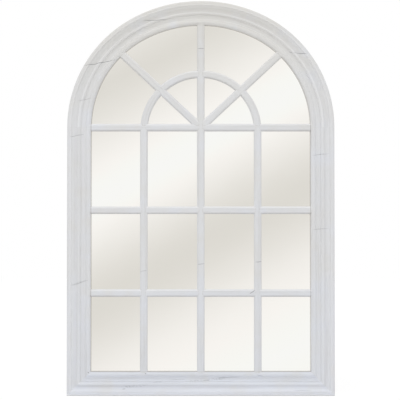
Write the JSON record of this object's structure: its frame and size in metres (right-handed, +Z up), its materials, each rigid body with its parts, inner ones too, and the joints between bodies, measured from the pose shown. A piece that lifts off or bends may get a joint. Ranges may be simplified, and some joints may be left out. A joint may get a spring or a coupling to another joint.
{
  "type": "arched window mirror",
  "caption": "Arched wall mirror made like a fanlight window: moulded pale wooden frame, glazing bars over separate mirror panes, and ring hangers on the back.",
  "frame": {"origin": "on the wall plane, halfway between the two points where the wall hooks carry the raised rings", "axes": "+Z up, +X to the right as seen from the front, -Y towards the viewer; the wall is at y = 0"},
  "size_m": [0.81, 0.036, 1.1958],
  "materials": {
    "frame_paint": "whitewashed wood, light cool grey, matt, with grain and old cracks",
    "bar_paint": "whitewashed wood, light cool grey, matt",
    "mirror_glass": "polished, silvered",
    "dowel_wood": "plain beech",
    "backing_board": "brown hardboard",
    "screw_steel": "zinc plated",
    "strap_steel": "stamped, zinc plated",
    "ring_steel": "drawn wire, zinc plated",
    "bumper_rubber": "matt"
  },
  "bodies": {
    "mirror": {"left_stile": "frame_paint", "right_stile": "frame_paint", "bottom_rail": "frame_paint", "left_haunch": "frame_paint", "arch_crown": "frame_paint", "right_haunch": "frame_paint", "left_bar": "bar_paint", "centre_bar": "bar_paint", "right_bar": "bar_paint", "left_fan_bar": "bar_paint", "right_fan_bar": "bar_paint", "transom_bar": "bar_paint", "upper_cross_bar": "bar_paint", "lower_cross_bar": "bar_paint", "inner_arch_far_right": "bar_paint", "inner_arch_near_right": "bar_paint", "inner_arch_near_left": "bar_paint", "inner_arch_far_left": "bar_paint", "upper_pane_1": "mirror_glass", "upper_pane_2": "mirror_glass", "upper_pane_3": "mirror_glass", "upper_pane_4": "mirror_glass", "middle_pane_1": "mirror_glass", "middle_pane_2": "mirror_glass", "middle_pane_3": "mirror_glass", "middle_pane_4": "mirror_glass", "lower_pane_1": "mirror_glass", "lower_pane_2": "mirror_glass", "lower_pane_3": "mirror_glass", "lower_pane_4": "mirror_glass", "inner_fan_pane_far_right": "mirror_glass", "outer_fan_pane_far_right": "mirror_glass", "inner_fan_pane_near_right": "mirror_glass", "outer_fan_pane_near_right": "mirror_glass", "inner_fan_pane_near_left": "mirror_glass", "outer_fan_pane_near_left": "mirror_glass", "inner_fan_pane_far_left": "mirror_glass", "outer_fan_pane_far_left": "mirror_glass", "frame_dowels": "dowel_wood", "backing_board": "backing_board", "backing_screws": "screw_steel", "hanger_screws": "screw_steel", "left_hanger_strap": "strap_steel", "right_hanger_strap": "strap_steel", "wall_bumpers": "bumper_rubber"},
    "left_ring": {"left_d_ring": "ring_steel"},
    "right_ring": {"right_d_ring": "ring_steel"}
  },
  "joints": [
    {"name": "left_ring_swing", "type": "hinge", "parent": "mirror", "child": "left_ring", "pos_m": [-0.38, -0.00322, -0.015], "axis": [1, 0, 0], "range_deg": [0, 174]},
    {"name": "right_ring_swing", "type": "hinge", "parent": "mirror", "child": "right_ring", "pos_m": [0.38, -0.00322, -0.015], "axis": [1, 0, 0], "range_deg": [0, 174]}
  ]
}
